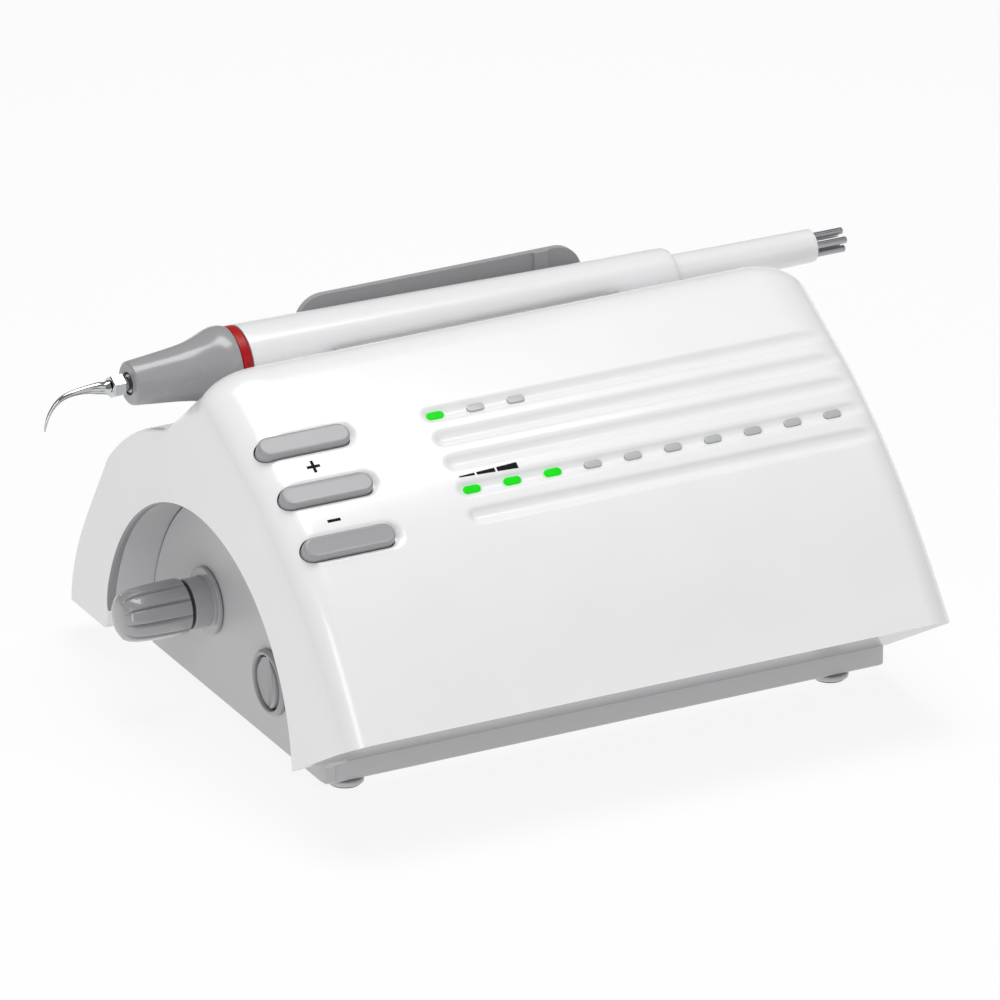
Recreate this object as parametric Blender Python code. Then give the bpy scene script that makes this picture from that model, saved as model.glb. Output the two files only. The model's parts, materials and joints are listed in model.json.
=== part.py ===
"""Tabletop ultrasonic scaler with its handpiece lying in the holder behind the crown.

Unit frame: X runs along the unit's width, left end at -X; the front slope faces -Y;
Z is up from the surface that the feet stand on.  Sizes below are in millimetres.
"""
import math

import bmesh
import bpy
from mathutils import Euler, Matrix, Vector

MM = 0.001

# ---- driving dimensions, mm -------------------------------------------------
UNIT_WIDTH = 183.0
UNIT_FRONT_Y = -83.6
UNIT_REAR_Y = 83.6
FRONT_EDGE_Z = 32.4
REAR_RIM_Z = 9.4
UNDERCUT_END = (-43.0, 8.5)
END_TAPER = 0.015
WALL = 2.5
END_FILLET = 10.0
CROWN_REACH = 1.7
GAP = 0.3

CROWN = (4.0, 90.8)
CROWN_R = 12.4
CROWN_FRONT_SLOPE = 29.0
CROWN_REAR_SLOPE = 57.0
FRONT_END_SLOPE = 52.4
DOME = (6.2, 8.8)
DOME_R = 75.0
SEAM = (61.6, 59.4)
STEP_FOOT = ((25.5, 81.6), (23.9, 83.0))

NICHE = (6.2, 7.4)
NICHE_R = 55.8
NICHE_DEPTH = 14.0

TRAY_BOTTOM_Z = 2.2
TRAY_RIM_Z = 7.2
TRAY_FRONT_Y = -41.9
TRAY_REAR_Y = 79.0
TRAY_RIGHT_X = 91.0
TRAY_FLOOR = 2.5

ROWS_Y = (-19.3, -26.0, -32.6, -39.4, -45.8)
ROW_START_X = -36.5
GROOVE_R = 2.8
GROOVE_DEPTH = 1.2
LIGHT_FIRST_X = -33.0
LIGHT_PITCH = 12.0
LIGHT_SIZE = (5.2, 2.3)
MODE_LIGHTS = 3
LEVEL_LIGHTS = 10

KEYS_Y = (-19.7, -33.1, -46.0)
KEY_X = -72.3
KEY_SIZE = (26.8, 6.6)
KEY_PROUD = 1.5
KEY_SCOOP_R = 5.2
KEY_SCOOP_DEPTH = 1.6
KEY_TRAVEL = 0.8

KNOB_AXIS = (26.8, 28.6)
SWITCH_AXIS = (-10.9, 19.8)
ROCKER_TILT = 8.0

HAND_AXIS = (32.0, 93.6)
HOLDER_HALF = 43.0
HOLDER_IN_R = 10.8
HOLDER_WALL = 1.8
HOLDER_LIP_Z = 97.0
HOLDER_BACK_Z = 102.9

POSTS = ((-52.6, -30.0), (82.5, -30.0), (-66.0, 62.0), (74.0, 62.0))
FEET = {"front_left_foot": (-69.6, -37.8), "front_right_foot": (76.3, -37.8),
        "rear_left_foot": (-69.6, 70.0), "rear_right_foot": (76.3, 70.0)}
REAR_COVER_Y = (71.5, 74.0)
REAR_COVER_TOP = 37.7
SOCKET_Z = 23.0
POWER_X = 50.0
PEDAL_X = 10.0
CORD_X = -28.0
WATER_X = -52.0

END_X = UNIT_WIDTH / 2
NICHE_X = -END_X + NICHE_DEPTH
BOX_CENTRE = (-3.073, 1.2)


# ---- outlines in the (y, z) plane -------------------------------------------
def arc(centre, radius, start, end, steps):
    """Points on a circle, angles in degrees from +y towards +z."""
    points = []
    for i in range(steps + 1):
        angle = math.radians(start + (end - start) * i / steps)
        points.append((centre[0] + radius * math.cos(angle), centre[1] + radius * math.sin(angle)))
    return points


def bezier(p0, p1, p2, p3, t):
    a, b, c, d = (1 - t) ** 3, 3 * (1 - t) ** 2 * t, 3 * (1 - t) * t * t, t ** 3
    return tuple(a * p0[k] + b * p1[k] + c * p2[k] + d * p3[k] for k in (0, 1))


def front_bezier(t):
    """The front slope, from the crown (t=0) down to its lower edge (t=1)."""
    a0, a1 = math.radians(CROWN_FRONT_SLOPE), math.radians(FRONT_END_SLOPE)
    p0 = (CROWN[0] - CROWN_R * math.sin(a0), CROWN[1] + CROWN_R * math.cos(a0))
    p3 = (UNIT_FRONT_Y, FRONT_EDGE_Z)
    p1 = (p0[0] - 46.0 * math.cos(a0), p0[1] - 46.0 * math.sin(a0))
    p2 = (p3[0] + 40.5 * math.cos(a1), p3[1] + 40.5 * math.sin(a1))
    return bezier(p0, p1, p2, p3, t)


def front_at(y):
    """Height and slope angle (radians) of the front surface at y."""
    low, high = 0.0, 1.0
    for _ in range(40):
        mid = (low + high) / 2
        if front_bezier(mid)[0] > y:
            low = mid
        else:
            high = mid
    (ya, za), (yb, zb) = front_bezier(low - 0.01), front_bezier(low + 0.01)
    return front_bezier(low)[1], math.atan2(za - zb, ya - yb)


def cover_outline():
    """Cover section from the rear rim over the crown to the undercut: each point with its share
    of the end fillet's drop and how far that fillet reaches along X."""
    rim = (UNIT_REAR_Y, REAR_RIM_Z)
    lower = [bezier(rim, (UNIT_REAR_Y, 26.0), (71.3, 41.9), SEAM, i / 6) for i in range(7)]
    dome = arc(DOME, DOME_R, 44.0, 73.0, 8)
    crown = arc(CROWN, CROWN_R, 90 - CROWN_REAR_SLOPE, 90 + CROWN_FRONT_SLOPE, 8)
    front = [front_bezier(i / 16) for i in range(1, 17)]
    outline = [(p, 0.0, 1.0) for p in lower + dome + list(STEP_FOOT)]
    outline += [(p, 1.0, CROWN_REACH) for p in crown]
    outline += [(p, 1.0, 1 + (CROWN_REACH - 1) * max(0.0, 1 - i / 4)) for i, p in enumerate(front, 1)]
    return outline + [(UNDERCUT_END, 0.0, 1.0)]


def offset_outline(points, distance):
    """Closed outline moved outwards by distance (inwards when negative), mitred."""
    moved = []
    count = len(points)
    for i in range(count):
        a, b, c = (Vector(points[(i + k) % count]) for k in (-1, 0, 1))
        n1 = Vector(((b - a).y, -(b - a).x)).normalized()
        n2 = Vector(((c - b).y, -(c - b).x)).normalized()
        bisector = (n1 + n2).normalized()
        moved.append(b + bisector * distance / max(0.5, bisector.dot(n1)))
    return moved


def cover_solid(inset, half_width, fillet):
    """Loft along X whose end sections shrink along the crown and front to make the end fillet.
    An inset loft is the cover's hollow: it runs on through the bottom."""
    tagged = cover_outline()
    base = [Vector(p) for p, _, _ in tagged]
    undercut = (base[-1] - base[-2]).normalized()
    if inset:
        base = offset_outline(base, -inset)
        base[0].y = 5.0
        base[-1] = base[-2] + undercut * (base[-2].y - 5.0) / -undercut.y
    normals = [n - p for p, n in zip(base, offset_outline(base, 1.0))]
    normals[-2] = -undercut
    turns = [math.pi / 12 * i for i in range(7)]
    rings = []
    for side, turn in [(-1, t) for t in turns] + [(1, t) for t in reversed(turns)]:
        ring = []
        for point, normal, (_, share, reach) in zip(base, normals, tagged):
            y, z = point - normal * share * fillet * (1 - math.sin(turn))
            x = half_width - reach * fillet * (1 - math.cos(turn)) - END_TAPER * (z - REAR_RIM_Z)
            ring.append((side * x, y, z))
        rings.append(ring)
    return loft(rings)


# ---- Blender helpers ---------------------------------------------------------
def clear_scene():
    for item in list(bpy.data.objects):
        bpy.data.objects.remove(item, do_unlink=True)


def make_collection(name):
    collection = bpy.data.collections.new(name)
    bpy.context.scene.collection.children.link(collection)
    return collection


def make_material(name, colour, roughness, metallic=0.0):
    material = bpy.data.materials.new(name)
    material.use_nodes = True
    shader = material.node_tree.nodes["Principled BSDF"]
    shader.inputs["Base Color"].default_value = (*colour, 1.0)
    shader.inputs["Roughness"].default_value = roughness
    shader.inputs["Metallic"].default_value = metallic
    return material


class Workshop:
    """Holds the collections, the finishes and the parent that new pieces get."""

    def __init__(self):
        self.parts = make_collection("ultrasonic_scaler")
        self.cutters = make_collection("cutters")
        self.parent = None
        self.finishes = {}

    def finish(self, name, colour, roughness, metallic=0.0):
        self.finishes[name] = (colour, roughness, metallic)

    def empty(self, name, location, parent=None):
        holder = bpy.data.objects.new(name, None)
        holder.location = [v * MM for v in location]
        holder.parent = parent
        self.parts.objects.link(holder)
        return holder

    def place(self, name, bm, finish=None, at=(0, 0, 0), turn=(0, 0, 0), smooth=True):
        """Make an object from a bmesh; a piece without a finish is a cutter."""
        mesh = bpy.data.meshes.new(name)
        bm.to_mesh(mesh)
        bm.free()
        item = bpy.data.objects.new(name, mesh)
        origin = Vector((0, 0, 0))
        if self.parent and self.parent.parent:
            origin = self.parent.location
        item.location = Vector([v * MM for v in at]) - origin
        item.rotation_euler = turn
        item.parent = self.parent
        if finish:
            self.parts.objects.link(item)
            mesh.materials.append(make_material(name, *self.finishes[finish]))
            if smooth:
                mesh.shade_smooth()
                mesh.set_sharp_from_angle(angle=math.radians(35))
        else:
            self.cutters.objects.link(item)
            item.hide_render = True
            item.display_type = "WIRE"
        return item


shop = None


def boolean(target, tool, operation="DIFFERENCE"):
    modifier = target.modifiers.new(tool.name, "BOOLEAN")
    modifier.operation = operation
    modifier.solver = "EXACT"
    modifier.object = tool
    return target


def block(size):
    bm = bmesh.new()
    bmesh.ops.create_cube(bm, size=1.0)
    bmesh.ops.scale(bm, vec=[v * MM for v in size], verts=bm.verts)
    return bm


def rounded_block(size, radius, segments=2):
    """Block with its upright edges rounded."""
    bm = block(size)
    upright = [e for e in bm.edges if abs(e.verts[0].co.z - e.verts[1].co.z) > 1e-6]
    bmesh.ops.bevel(bm, geom=upright, offset=radius * MM, segments=segments, profile=0.5, affect="EDGES")
    return bm


def rod(radius, length, segments=16, tip=None):
    """Cylinder or cone along local Z, centred."""
    bm = bmesh.new()
    top = radius if tip is None else tip
    bmesh.ops.create_cone(bm, cap_ends=True, segments=segments, radius1=radius * MM,
                          radius2=top * MM, depth=length * MM)
    return bm


def along_x(bm):
    """Turn a shape made along local Z to point along +X."""
    bmesh.ops.rotate(bm, cent=(0, 0, 0), matrix=Matrix.Rotation(math.pi / 2, 3, "Y"), verts=bm.verts)
    return bm


def along_y(bm):
    bmesh.ops.rotate(bm, cent=(0, 0, 0), matrix=Matrix.Rotation(-math.pi / 2, 3, "X"), verts=bm.verts)
    return bm


def prism(outline, start, end, axis="X"):
    """Outline in (y, z) drawn out along X, or in (x, z) along Y, or in (x, y) along Z."""
    order = {"X": lambda u, v, w: (w, u, v), "Y": lambda u, v, w: (u, w, v), "Z": lambda u, v, w: (u, v, w)}
    return loft([[order[axis](u, v, w) for u, v in outline] for w in (start, end)])


def lathe(profile, steps=24):
    """Solid of revolution about local Z from (radius, height) points; a ring when it misses the axis."""
    bm = bmesh.new()
    verts = [bm.verts.new((r * MM, 0, h * MM)) for r, h in profile]
    pairs = list(zip(verts, verts[1:]))
    if profile[0][0] > 0:
        pairs.append((verts[-1], verts[0]))
    edges = [bm.edges.new(pair) for pair in pairs]
    bmesh.ops.spin(bm, geom=verts + edges, cent=(0, 0, 0), axis=(0, 0, 1), dvec=(0, 0, 0),
                   angle=2 * math.pi, steps=steps, use_merge=True)
    bmesh.ops.remove_doubles(bm, verts=bm.verts, dist=1e-6)
    bmesh.ops.recalc_face_normals(bm, faces=bm.faces)
    return bm


def gathered(shapes):
    """One bmesh from several (bmesh, place, turn) shapes that do not touch."""
    whole = bmesh.new()
    for shape, at, turn in shapes:
        matrix = Matrix.Translation([v * MM for v in at]) @ Euler(turn).to_matrix().to_4x4()
        shape.transform(matrix)
        mesh = bpy.data.meshes.new("shape")
        shape.to_mesh(mesh)
        shape.free()
        whole.from_mesh(mesh)
        bpy.data.meshes.remove(mesh)
    return whole


def loft(rings):
    """Closed skin over rings of points that all have the same count."""
    bm = bmesh.new()
    made = [[bm.verts.new([v * MM for v in p]) for p in ring] for ring in rings]
    count = len(made[0])
    for near, far in zip(made, made[1:]):
        for i in range(count):
            j = (i + 1) % count
            bm.faces.new((near[i], near[j], far[j], far[i]))
    bm.faces.new(list(reversed(made[0])))
    bm.faces.new(made[-1])
    bmesh.ops.recalc_face_normals(bm, faces=bm.faces)
    return bm


def wire(name, points, radius, finish):
    """Tube of a steady radius through smoothed points, made a mesh with welded caps."""
    curve = bpy.data.curves.new(name, "CURVE")
    curve.dimensions = "3D"
    spline = curve.splines.new("POLY")
    path = smooth_path(points, 2.5 * radius)
    spline.points.add(len(path) - 1)
    for place, point in zip(spline.points, path):
        place.co = (*[v * MM for v in point], 1)
    curve.bevel_depth = radius * MM
    curve.bevel_resolution = 2
    curve.use_fill_caps = True
    source = bpy.data.objects.new(name + "_path", curve)
    shop.parts.objects.link(source)
    evaluated = source.evaluated_get(bpy.context.evaluated_depsgraph_get())
    mesh = bpy.data.meshes.new_from_object(evaluated)
    bpy.data.objects.remove(source, do_unlink=True)
    bm = bmesh.new()
    bm.from_mesh(mesh)
    bmesh.ops.remove_doubles(bm, verts=bm.verts, dist=0.00001)
    return shop.place(name, bm, finish)


def smooth_path(points, spacing):
    """Catmull-Rom curve through the points, read off about every spacing."""
    knots = [Vector(p) for p in points]
    knots = [2 * knots[0] - knots[1]] + knots + [2 * knots[-1] - knots[-2]]
    path = []
    for a, b, c, d in zip(knots, knots[1:], knots[2:], knots[3:]):
        steps = max(2, round((c - b).length / spacing))
        for i in range(steps):
            t = i / steps
            path.append(0.5 * (2 * b + (c - a) * t + (2 * a - 5 * b + 4 * c - d) * t * t
                               + (3 * b - a - 3 * c + d) * t ** 3))
    return path + [knots[-2]]


def slope_place(x, y):
    """Place and turn of something set square to the front slope: local z points out of it."""
    z, slope = front_at(y)
    return (x, y, z), (slope, 0, 0)


def sunk(x, y, depth):
    """Place and turn as slope_place, moved inwards along the slope's normal."""
    (x, y, z), turn = slope_place(x, y)
    return (x, y + depth * math.sin(turn[0]), z - depth * math.cos(turn[0])), turn


# ---- the cover ---------------------------------------------------------------
def groove(radius, depth, y, x0, x1, round_end):
    """Cutter with one or no rounded end lying along a slope row."""
    length = x1 - x0
    if round_end == "left":
        profile = [(0, length), (radius, length)]
        profile += [(radius * math.cos(math.radians(a)), radius - radius * math.sin(math.radians(a)))
                    for a in range(0, 90, 15)] + [(0, 0)]
    else:
        profile = [(0, length)] + [(radius * math.sin(math.radians(a)),
                                    length - radius + radius * math.cos(math.radians(a)))
                                   for a in range(15, 91, 15)] + [(radius, 0), (0, 0)]
    at, turn = sunk(x0, y, depth - radius)
    return along_x(lathe(profile, 24)), at, turn


def light_rows():
    """(row y, lens x values) of the two rows that carry lenses."""
    mode = [LIGHT_FIRST_X + i * LIGHT_PITCH for i in range(MODE_LIGHTS)]
    level = [LIGHT_FIRST_X + 0.6 + i * LIGHT_PITCH for i in range(LEVEL_LIGHTS)]
    return {"mode_light_guide": (ROWS_Y[0], mode), "level_light_guide": (ROWS_Y[3], level)}


def build_cover():
    cover = shop.place("top_shell", cover_solid(0, END_X, END_FILLET), "cover")
    hollow = shop.place("cover_hollow", cover_solid(WALL, END_X - WALL, END_FILLET - WALL))
    ring = along_x(rod(NICHE_R + WALL, 24, 64))
    boolean(hollow, shop.place("niche_wall", ring, at=(NICHE_X + 3 - 12, *NICHE)))
    posts = [(rod(3.5, 120, 16), (x, y, 60), (0, 0, 0)) for x, y in POSTS]
    boolean(hollow, shop.place("posts", gathered(posts)))
    boolean(cover, hollow)
    arch = along_x(rod(NICHE_R, 24, 64))
    boolean(cover, shop.place("niche_arch", arch, at=(NICHE_X + 3.5 - 12, *NICHE)))
    pocket = block((160, 30, 60))
    boolean(cover, shop.place("rear_pocket", pocket, at=(0, 85, REAR_COVER_TOP + GAP - 30)))
    rows = [groove(GROOVE_R, GROOVE_DEPTH, y, ROW_START_X, 100, "left") for y in ROWS_Y]
    boolean(cover, shop.place("row_grooves", gathered(rows)))
    right = KEY_X + KEY_SIZE[0] / 2 + 2.2
    scoops = [groove(KEY_SCOOP_R, KEY_SCOOP_DEPTH, y, -100, right, "right") for y in KEYS_Y]
    boolean(cover, shop.place("key_scoops", gathered(scoops)))
    slots = []
    for y, lenses in light_rows().values():
        for x in lenses:
            slots.append((block((LIGHT_SIZE[0] + 0.4, LIGHT_SIZE[1] + 0.4, 10)), *sunk(x, y, 1)))
    boolean(cover, shop.place("lens_slots", gathered(slots)))
    holes = []
    for y in KEYS_Y:
        hole = rounded_block((KEY_SIZE[0] + 0.7, KEY_SIZE[1] + 0.7, 16), KEY_SIZE[1] / 2, 4)
        holes.append((hole, *sunk(KEY_X, y, 1)))
    boolean(cover, shop.place("key_holes", gathered(holes)))
    drills = [(rod(1.6, 20, 12), (x, y, 6.5), (0, 0, 0)) for x, y in POSTS]
    drills += [(along_y(rod(1.5, 18, 12)), (x, 67, 22.0), (0, 0, 0)) for x, _ in POSTS[2:]]
    boolean(cover, shop.place("screw_holes", gathered(drills)))
    return cover


def build_lights():
    """One moulded guide per row: a bar under the slope with a tooth in every slot."""
    for name, (y, lenses) in light_rows().items():
        half = LIGHT_SIZE[0] / 2
        low, high, face = -4.7, -3.1, -GROOVE_DEPTH + 0.5
        outline = [(lenses[0] - half - 1, low), (lenses[-1] + half + 1, low), (lenses[-1] + half + 1, high)]
        for x in reversed(lenses):
            outline += [(x + half, high), (x + half, face), (x - half, face), (x - half, high)]
        outline.append((lenses[0] - half - 1, high))
        shift = [(x - lenses[0], z) for x, z in outline]
        at, turn = slope_place(lenses[0], y)
        bar = prism(shift, -LIGHT_SIZE[1] / 2, LIGHT_SIZE[1] / 2, "Y")
        shop.place(name, bar, "lens", at, turn, smooth=False)


def key_body():
    """Key in its own frame: rounded cap with a flange and a stem underneath."""
    length, width = KEY_SIZE
    cap = rounded_block((length, width, KEY_PROUD + 4.0), width / 2 - 0.4, 4)
    bmesh.ops.translate(cap, vec=(0, 0, (KEY_PROUD - 4.0) / 2 * MM), verts=cap.verts)
    rim = [e for e in cap.edges if all(v.co.z > (KEY_PROUD - 0.01) * MM for v in e.verts)]
    bmesh.ops.bevel(cap, geom=rim, offset=0.9 * MM, segments=2, profile=0.5, affect="EDGES")
    return cap


def build_keys():
    for name, y in zip(("option_button", "plus_button", "minus_button"), KEYS_Y):
        at, turn = slope_place(KEY_X, y)
        key = shop.place(name, key_body(), "key", at, turn)
        flange = block((23.2, 9.4, 1.0))
        bmesh.ops.translate(flange, vec=(3.2 * MM, 0, -3.8 * MM), verts=flange.verts)
        boolean(key, shop.place(name + "_flange", flange, at=at, turn=turn), "UNION")
        stem = rod(1.5, 3.2, 12)
        bmesh.ops.translate(stem, vec=(0, 0, -5.1 * MM), verts=stem.verts)
        boolean(key, shop.place(name + "_stem", stem, at=at, turn=turn), "UNION")


def build_control_board():
    at, turn = sunk(0, -34.2, 12.0)
    board = shop.place("control_board", block((160, 38, 1.6)), "circuit", at, turn)
    reliefs = [(rod(4.0, 60, 16), (x, y, 70), (0, 0, 0)) for x, y in POSTS[:2]]
    boolean(board, shop.place("board_reliefs", gathered(reliefs)))
    for name, y in zip(("option_switch", "plus_switch", "minus_switch"), KEYS_Y):
        at, turn = slope_place(KEY_X, y)
        body = block((6.0, 6.0, 1.6))
        bmesh.ops.translate(body, vec=(0, 0, -9.3 * MM), verts=body.verts)
        switch = shop.place(name, body, "black", at, turn)
        plunger = rod(1.7, 1.5, 12)
        bmesh.ops.translate(plunger, vec=(0, 0, -8.35 * MM), verts=plunger.verts)
        boolean(switch, shop.place(name + "_plunger", plunger, at=at, turn=turn), "UNION")


# ---- the lower housing -------------------------------------------------------
def tub(x0, x1, y0, y1, z0, z1, radius):
    bm = rounded_block((x1 - x0, y1 - y0, z1 - z0), radius, 4)
    return bm, ((x0 + x1) / 2, (y0 + y1) / 2, (z0 + z1) / 2), (0, 0, 0)


def build_tray():
    left, right = NICHE_X, TRAY_RIGHT_X
    body, at, _ = tub(left, right, TRAY_FRONT_Y, TRAY_REAR_Y, TRAY_BOTTOM_Z, TRAY_RIM_Z, 1.6)
    tray = shop.place("base_tray", body, "tray", at)
    lip, lip_at, _ = tub(left + 3.5, right - 2.1, -36.3, 76.5, 4.0, 10.0, 3.0)
    boolean(tray, shop.place("tray_lip", lip, at=lip_at), "UNION")
    well, well_at, _ = tub(left + 5.5, right - 4.1, -34.3, 74.5, TRAY_BOTTOM_Z + TRAY_FLOOR, 20, 2.0)
    boolean(tray, shop.place("tray_well", well, at=well_at))
    circle = arc(NICHE, NICHE_R - 0.25, 0, 180, 32)
    bottom = [(circle[-1][0], 6.4), (TRAY_FRONT_Y, 2.4), (TRAY_FRONT_Y + 3, TRAY_BOTTOM_Z), (circle[0][0], TRAY_BOTTOM_Z)]
    panel = shop.place("niche_panel", prism(circle + bottom, left, left + 3))
    wedge = [(-70, 23.9), (-70, 0), (TRAY_FRONT_Y - 0.3, 0), (TRAY_FRONT_Y - 0.3, 7.6)]
    boolean(panel, shop.place("panel_clip", prism(wedge, left - 5, left + 8)))
    boolean(tray, panel, "UNION")
    knob_hole = along_x(rod(5.5, 12, 24))
    boolean(tray, shop.place("knob_hole", knob_hole, at=(left + 1, *KNOB_AXIS)))
    switch_hole = along_x(rod(8.4, 12, 32))
    boolean(tray, shop.place("switch_hole", switch_hole, at=(left + 1, *SWITCH_AXIS)))
    bosses = [(rod(3.6, 3.2, 16), (x, y, 5.7), (0, 0, 0)) for x, y in POSTS]
    bosses += [(rod(3.0, 5.7, 12), (x, y, 6.85), (0, 0, 0)) for x in (-44, 55) for y in (-24, 45)]
    boolean(tray, shop.place("tray_bosses", gathered(bosses)), "UNION")
    holes = [(rod(1.6, 12, 12), (x, y, 6), (0, 0, 0)) for x, y in POSTS]
    boolean(tray, shop.place("tray_drills", gathered(holes)))
    sinks = [(rod(2.9, 3.8, 16), (x, y, 1.9), (0, 0, 0)) for x, y in POSTS]
    sinks += [(rod(1.9, 3.9, 12), (x, y, 1.95), (0, 0, 0)) for x, y in FEET.values()]
    boolean(tray, shop.place("tray_sinks", gathered(sinks)))


def build_feet_and_screws():
    for name, (x, y) in FEET.items():
        profile = [(0, 3.6), (1.6, 3.6), (1.6, 1.9), (5.1, 1.9), (5.1, 0.8), (4.3, 0), (0, 0)]
        shop.place(name, lathe(profile, 24), "foot", (x, y, 0))
    names = ("front_left_screw", "front_right_screw", "rear_left_screw", "rear_right_screw")
    for name, (x, y) in zip(names, POSTS):
        profile = [(0, 15.5), (1.3, 15.0), (1.3, 3.5), (2.6, 3.5), (2.6, 2.4), (0, 2.4)]
        shop.place(name, lathe(profile, 12), "steel", (x, y, 0))


# ---- behind the niche: knob, valve and power switch --------------------------
def knob_body():
    """Fluted knob: rings along X whose radius dips at each flute."""
    stations = ((-85.8, 7.3, 0.3), (-86.2, 7.6, 0.8), (-95.0, 7.5, 0.8), (-100.0, 7.2, 0.8), (-102.5, 6.6, 0.7),
                (-104.0, 5.6, 0.5), (-104.5, 4.5, 0.2), (-104.5, 1.2, 0.0))
    flutes, count = 10, 60
    rings = []
    for x, radius, depth in stations:
        ring = []
        for i in range(count):
            turn = 2 * math.pi * i / count
            dip = 0.5 + 0.5 * math.cos(flutes * turn)
            r = radius - depth * dip ** 3
            ring.append((x, r * math.cos(turn), r * math.sin(turn)))
        rings.append(ring)
    return loft(rings)


def build_knob_and_valve(moving_knob, moving_needle):
    y, z = KNOB_AXIS
    collar = [(5.2, -74.8), (5.2, -77.8), (9.3, -77.8), (9.3, -78.6), (8.9, -79.0), (7.0, -79.0), (7.0, -84.5),
              (3.3, -84.5), (3.3, -74.8)]
    shop.place("knob_collar", along_x(lathe(collar, 32)), "knob", (0, y, z))
    seal = [(6.6, -84.8), (6.6, -85.5), (3.1, -85.5), (3.1, -84.8)]
    shop.place("knob_o_ring", along_x(lathe(seal, 24)), "rubber", (0, y, z))
    body = [(8.0, -56.0), (8.0, -74.2), (3.1, -74.2), (3.1, -63.0), (1.2, -61.5), (1.2, -56.0)]
    valve = shop.place("valve_body", along_x(lathe(body, 24)), "brass", (0, y, z))
    boolean(valve, shop.place("valve_port", along_y(rod(1.2, 12, 12)), at=(-66, y + 7, z)))
    shop.parent = moving_knob
    knob = shop.place("water_knob", knob_body(), "knob", (0, y, z))
    boolean(knob, shop.place("knob_bore", along_x(rod(2.9, 24, 16)), at=(-85, y, z)))
    shop.parent = moving_needle
    needle = [(0, -63.9), (0.9, -65.2), (2.6, -67.5), (2.6, -96.0), (0, -96.0)]
    shop.place("valve_needle", along_x(lathe(needle, 16)), "steel", (0, y, z))


def build_power_switch(moving_rocker):
    y, z = SWITCH_AXIS
    bezel = [(8.1, -74.8), (8.1, -77.8), (9.1, -77.8), (9.1, -78.6), (8.5, -79.3), (7.8, -79.3), (7.6, -78.9),
             (7.6, -74.8)]
    shop.place("switch_bezel", along_x(lathe(bezel, 32)), "key", (0, y, z))
    shop.place("switch_body", rounded_block((16.5, 15.0, 15.0), 1.0), "black", (-63.2, y, z))
    shop.parent = moving_rocker
    disc = [(0, 1.9), (6.8, 1.9), (7.0, 1.6), (7.0, -2.4), (6.7, -2.7), (0, -2.7)]
    tilt = (0, 0, -math.radians(ROCKER_TILT))
    rocker = shop.place("power_rocker", along_x(lathe(disc, 32)), "key", (-77.2, y, z), tilt)
    dip = math.tan(math.radians(ROCKER_TILT))
    valley = [(-8, -4.0), (8, -4.0), (8, -1.7 - 8 * dip), (0, -1.7), (-8, -1.7 - 8 * dip)]
    cut = prism([(x, y_) for y_, x in valley], -10, 10, "Z")
    boolean(rocker, shop.place("rocker_valley", cut, at=(-77.2, y, z), turn=tilt))


def build_electronics():
    shop.place("main_board", block((108, 78, 1.6)), "circuit", (6, 11, 10.8))
    shop.place("transformer", rounded_block((34, 30, 26), 1.5), "copper", (8, 25, 25.0))
    shop.place("solenoid_valve", rounded_block((30, 20, 26), 2.0), "black", (-33, 26.8, 25.0))
    fins = [(-10, 0), (10, 0), (10, 25)]
    for i in range(4):
        x = 10 - i * 5.6
        fins += [(x - 1.6, 25), (x - 1.6, 4), (x - 5.6, 4), (x - 5.6, 25)] if i < 3 else []
    fins += [(-10, 25)]
    sink = prism(fins, -25, 25, "Y")
    shop.place("heat_sink", sink, "aluminium", (46, 20, 11.9), smooth=False)
    for name, x in (("storage_capacitor_a", -30), ("storage_capacitor_b", -10)):
        can = [(0, 25), (7.4, 25), (8.0, 24.4), (8.0, 1.4), (7.6, 0.7), (8.0, 0), (0, 0)]
        shop.place(name, lathe(can, 20), "sleeve", (x, -10, 11.9))
    coil = [(8 + 4 * math.cos(math.radians(a)), 4 + 4 * math.sin(math.radians(a))) for a in range(360, 0, -36)]
    shop.place("output_choke", lathe(coil, 24), "copper", (15, -12, 11.9))
    ky, kz = KNOB_AXIS
    shop.place("valve_tube", along_x(lathe([(2.2, 3.7), (2.2, -3.7), (1.2, -3.7), (1.2, 3.7)], 16)), "tube",
               (-52.0, ky, kz))
    wire("inlet_tube", [(WATER_X, 65.5, SOCKET_Z), (WATER_X - 2, 55, 25.5), (-64, 44, kz), (-66, 35.4, kz)], 1.8, "tube")
    wire("outlet_tube", [(-36, 37.3, 27), (-36, 45, 27), (-30, 56, 24.5), (CORD_X, 65.5, SOCKET_Z)], 1.8, "tube")


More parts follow.
